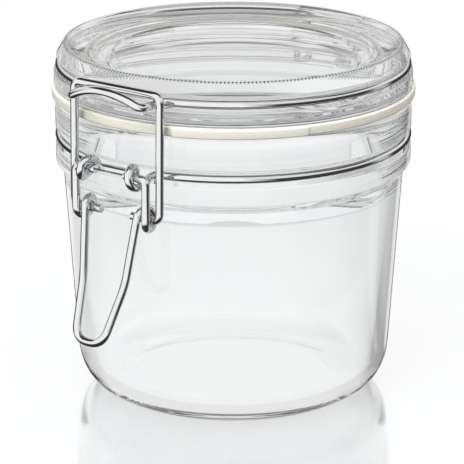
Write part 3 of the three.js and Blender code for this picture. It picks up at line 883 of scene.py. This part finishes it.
def stage_sheet(name, corners, paint):
    """A flat sheet of the studio, which isn't part of the jar."""
    mesh = bpy.data.meshes.new(name)
    mesh.from_pydata(corners, [], [(0, 1, 2, 3)])
    mesh.materials.append(paint)
    sheet = bpy.data.objects.new(name, mesh)
    bpy.context.scene.collection.objects.link(sheet)


def straight_through(tree, path):
    """One for a ray that glass has passed on and nothing has mirrored."""
    unmirrored = add_node(tree, "ShaderNodeMath", {
        0: path["Glossy Depth"], 1: 1.0}, operation="LESS_THAN")
    return add_node(tree, "ShaderNodeMath", {
        0: path["Is Transmission Ray"], 1: unmirrored.outputs[0]}, operation="MULTIPLY").outputs[0]


def panels_round(tree, heading, panels):
    """Level of the panels that stand round the jar, and how far the ray points to the front."""
    ahead = add_node(tree, "ShaderNodeVectorMath", {
        0: heading, 1: view_front}, operation="DOT_PRODUCT")
    aside = add_node(tree, "ShaderNodeVectorMath", {
        0: heading, 1: view_right}, operation="DOT_PRODUCT")
    bearing = add_node(tree, "ShaderNodeMath", {
        0: aside.outputs["Value"], 1: ahead.outputs["Value"]}, operation="ARCTAN2")
    share = add_node(tree, "ShaderNodeMapRange", {
        "Value": bearing.outputs[0], "From Min": -math.pi, "From Max": math.pi})
    ramp = add_node(tree, "ShaderNodeValToRGB", {"Fac": share.outputs[0]})
    stops = ramp.color_ramp.elements
    while len(stops) < len(panels):
        stops.new(1.0)
    for stop, (degrees, level) in zip(stops, panels):
        stop.position = (degrees + 180) / 360
        stop.color = (level, level, level, 1)
    return ramp.outputs["Color"], ahead.outputs["Value"]


def mirrored_studio(tree, place, panels, below_span):
    """What is mirrored: panels round the jar and overhead, with dark gaps between and below them."""
    heading = add_node(tree, "ShaderNodeVectorMath", {0: place}, operation="NORMALIZE").outputs[0]
    round_level, ahead = panels_round(tree, heading, panels)
    rise = add_node(tree, "ShaderNodeSeparateXYZ", {0: heading}).outputs["Z"]
    overhead = add_node(tree, "ShaderNodeMapRange", {
        "Value": rise, "From Min": OVERHEAD_SPAN[0], "From Max": OVERHEAD_SPAN[1]})
    lit = add_node(tree, "ShaderNodeMath", {
        0: round_level, 1: overhead.outputs[0]}, operation="MAXIMUM")
    below = add_node(tree, "ShaderNodeMapRange", {
        "Value": rise, "From Min": below_span[0], "From Max": below_span[1],
        "To Min": GAP_LEVEL, "To Max": PANEL_LEVEL})
    # High up behind the jar the studio is dark
    behind = add_node(tree, "ShaderNodeMapRange", {
        "Value": ahead, "From Min": FRONT_SPAN[0], "From Max": FRONT_SPAN[1],
        "To Min": 1.0, "To Max": 0.0})
    high = add_node(tree, "ShaderNodeMapRange", {
        "Value": rise, "From Min": HIGH_SPAN[0], "From Max": HIGH_SPAN[1]})
    both = add_node(tree, "ShaderNodeMath", {
        0: behind.outputs[0], 1: high.outputs[0]}, operation="MULTIPLY")
    above = add_node(tree, "ShaderNodeMapRange", {
        "Value": both.outputs[0], "To Min": PANEL_LEVEL, "To Max": GAP_LEVEL})
    ends = add_node(tree, "ShaderNodeMath", {
        0: below.outputs[0], 1: above.outputs[0]}, operation="MINIMUM")
    return add_node(tree, "ShaderNodeMath", {
        0: lit.outputs[0], 1: ends.outputs[0]}, operation="MINIMUM").outputs[0]


def mirrored_level(tree, path, place, edge_place):
    """Panels as the wires, the outer face of the glass or its inside mirror them, each its own."""
    wires = mirrored_studio(tree, place, WIRE_PANELS, WIRE_BELOW_SPAN)
    face = mirrored_studio(tree, edge_place, FACE_PANELS, FACE_BELOW_SPAN)
    inside = mirrored_studio(tree, place, INSIDE_PANELS, INSIDE_BELOW_SPAN)
    dimmed = add_node(tree, "ShaderNodeMath", {0: inside, 1: INSIDE_LEVEL}, operation="MULTIPLY")
    # A ray is singular where smooth glass mirrors it, and not where a drawn wire does
    outer = add_node(tree, "ShaderNodeMix", {
        "Factor": path["Is Singular Ray"], "A": wires, "B": face}).outputs["Result"]
    return add_node(tree, "ShaderNodeMix", {
        "Factor": path["Is Transmission Ray"], "A": outer,
        "B": dimmed.outputs[0]}).outputs["Result"]


def light_studio():
    """A white world for the camera, panels for what is mirrored, and plain light for the rest."""
    world = bpy.data.worlds.new("studio")
    bpy.context.scene.world = world
    world.use_nodes = True
    tree = world.node_tree
    tree.nodes.clear()
    path = add_node(tree, "ShaderNodeLightPath").outputs
    direction = add_node(tree, "ShaderNodeTexCoord").outputs["Generated"]
    # The white that shows through the glass is greyer at both sides
    across = add_node(tree, "ShaderNodeVectorMath", {
        0: direction, 1: view_right}, operation="DOT_PRODUCT").outputs["Value"]
    left = add_node(tree, "ShaderNodeMapRange", {
        "Value": across, "From Min": LEFT_SPAN[0], "From Max": LEFT_SPAN[1],
        "To Min": LEFT_LEVEL, "To Max": 1.0})
    right = add_node(tree, "ShaderNodeMapRange", {
        "Value": across, "From Min": RIGHT_SPAN[0], "From Max": RIGHT_SPAN[1],
        "To Min": 1.0, "To Max": RIGHT_LEVEL})
    sides = add_node(tree, "ShaderNodeMath", {
        0: left.outputs[0], 1: right.outputs[0]}, operation="MINIMUM")
    level = add_node(tree, "ShaderNodeMath", {
        0: path["Is Camera Ray"], 1: sides.outputs[0]}, operation="MAXIMUM")
    plain = add_node(tree, "ShaderNodeBackground", {
        "Color": linear("#f4f6f8"), "Strength": PLAIN_LEVEL})
    white = add_node(tree, "ShaderNodeBackground", {
        "Color": linear("#ffffff"), "Strength": level.outputs[0]})
    panels = add_node(tree, "ShaderNodeBackground", {
        "Color": linear("#ffffff"), "Strength": mirrored_level(tree, path, direction, direction)})
    seen = add_node(tree, "ShaderNodeMath", {
        0: path["Is Camera Ray"], 1: straight_through(tree, path)}, operation="MAXIMUM")
    unseen = add_node(tree, "ShaderNodeMixShader", {
        0: path["Is Glossy Ray"], 1: plain.outputs[0], 2: panels.outputs[0]})
    mixed = add_node(tree, "ShaderNodeMixShader", {
        0: seen.outputs[0], 1: unseen.outputs[0], 2: white.outputs[0]})
    add_node(tree, "ShaderNodeOutputWorld", {"Surface": mixed.outputs[0]})


def white_table():
    """A white table that takes the jar's shadow and a faint reflection near it, and has a painted pool
    of light under the jar where it is seen through the glass.
    """
    material = new_material("white_table")
    tree = material.node_tree
    path = add_node(tree, "ShaderNodeLightPath").outputs
    spot = add_node(tree, "ShaderNodeNewGeometry").outputs["Position"]
    matt = add_node(tree, "ShaderNodeBsdfDiffuse", {"Color": linear("#e4eaee")})
    through = straight_through(tree, path)
    # Painted pool of light: seen through the glass, the table glows brighter under the jar than further
    # off
    distance = add_node(tree, "ShaderNodeVectorMath", {0: spot}, operation="LENGTH").outputs["Value"]
    painted_light_pool = add_node(tree, "ShaderNodeMapRange", {
        "Value": distance, "From Min": PAINTED_POOL_SPAN[0], "From Max": PAINTED_POOL_SPAN[1],
        "To Min": 1.0, "To Max": FAR_TABLE_LEVEL})
    behind_glass = add_node(tree, "ShaderNodeMath", {
        0: through, 1: painted_light_pool.outputs[0]}, operation="MULTIPLY")
    clear = add_node(tree, "ShaderNodeMath", {
        0: path["Is Camera Ray"], 1: behind_glass.outputs[0]}, operation="MAXIMUM")
    glow = add_node(tree, "ShaderNodeEmission", {
        "Color": linear("#ffffff"), "Strength": clear.outputs[0]})
    # Only the table near the jar takes its shadow and its reflection
    far = add_node(tree, "ShaderNodeMapRange", {
        "Value": distance, "From Min": NEAR_SPAN[0], "From Max": NEAR_SPAN[1],
        "To Min": NEAR_GLOW_SHARE, "To Max": 1.0})
    share = add_node(tree, "ShaderNodeMath", {0: through, 1: far.outputs[0]}, operation="MAXIMUM")
    top = add_node(tree, "ShaderNodeMixShader", {
        0: share.outputs[0], 1: matt.outputs[0], 2: glow.outputs[0]})
    sheen = add_node(tree, "ShaderNodeBsdfGlossy", {
        "Color": linear("#ffffff"), "Roughness": SHEEN_ROUGHNESS})
    near = add_node(tree, "ShaderNodeMapRange", {
        "Value": distance, "From Min": NEAR_SPAN[0], "From Max": NEAR_SPAN[1],
        "To Min": NEAR_SHEEN_SHARE, "To Max": 0.0})
    sheen_share = add_node(tree, "ShaderNodeMath", {
        0: path["Is Camera Ray"], 1: near.outputs[0]}, operation="MULTIPLY")
    polished = add_node(tree, "ShaderNodeMixShader", {
        0: sheen_share.outputs[0], 1: top.outputs[0], 2: sheen.outputs[0]})
    # Where a mirrored ray meets the table, it sees the panels in the direction of that place
    from_wires = add_node(tree, "ShaderNodeVectorMath", {
        0: spot, 1: Vector((0, 0, eyelet_z))}, operation="SUBTRACT")
    # What the glass mirrors at its outline is told by its bearing from that edge of the jar
    aside = add_node(tree, "ShaderNodeVectorMath", {0: spot, 1: view_right}, operation="DOT_PRODUCT")
    reach = add_node(tree, "ShaderNodeClamp", {
        "Value": aside.outputs["Value"], "Min": -BODY_RADIUS, "Max": BODY_RADIUS})
    edge = add_node(tree, "ShaderNodeVectorMath", {
        0: view_right, "Scale": reach.outputs[0]}, operation="SCALE")
    from_edge = add_node(tree, "ShaderNodeVectorMath", {
        0: from_wires.outputs[0], 1: edge.outputs[0]}, operation="SUBTRACT")
    mirrored = add_node(tree, "ShaderNodeEmission", {
        "Color": linear("#ffffff"),
        "Strength": mirrored_level(tree, path, from_wires.outputs[0], from_edge.outputs[0])})
    mirror_ray = add_node(tree, "ShaderNodeMath", {
        0: path["Is Glossy Ray"], 1: through}, operation="GREATER_THAN")
    table = add_node(tree, "ShaderNodeMixShader", {
        0: mirror_ray.outputs[0], 1: polished.outputs[0], 2: mirrored.outputs[0]})
    add_node(tree, "ShaderNodeOutputMaterial", {"Surface": table.outputs[0]})
    return material


# The studio round the jar
softbox("softbox_top", azimuth=20, elevation=78, size=0.6, power=4.0)
softbox("softbox_front", azimuth=5, elevation=35, size=0.5, power=5.2)
softbox("softbox_right", azimuth=120, elevation=30, size=0.5, power=2.0)
light_studio()
half_side = TABLE_SIDE / 2
table_corners = [(x * half_side, y * half_side, -TABLE_DROP)
                 for x, y in ((-1, -1), (1, -1), (1, 1), (-1, 1))]
stage_sheet("table", table_corners, white_table())

bpy.context.scene.view_settings.view_transform = "Standard"
bpy.context.scene.cycles.max_bounces = LIGHT_BOUNCES
bpy.context.scene.cycles.glossy_bounces = MIRROR_BOUNCES
bpy.context.scene.cycles.transmission_bounces = LIGHT_BOUNCES
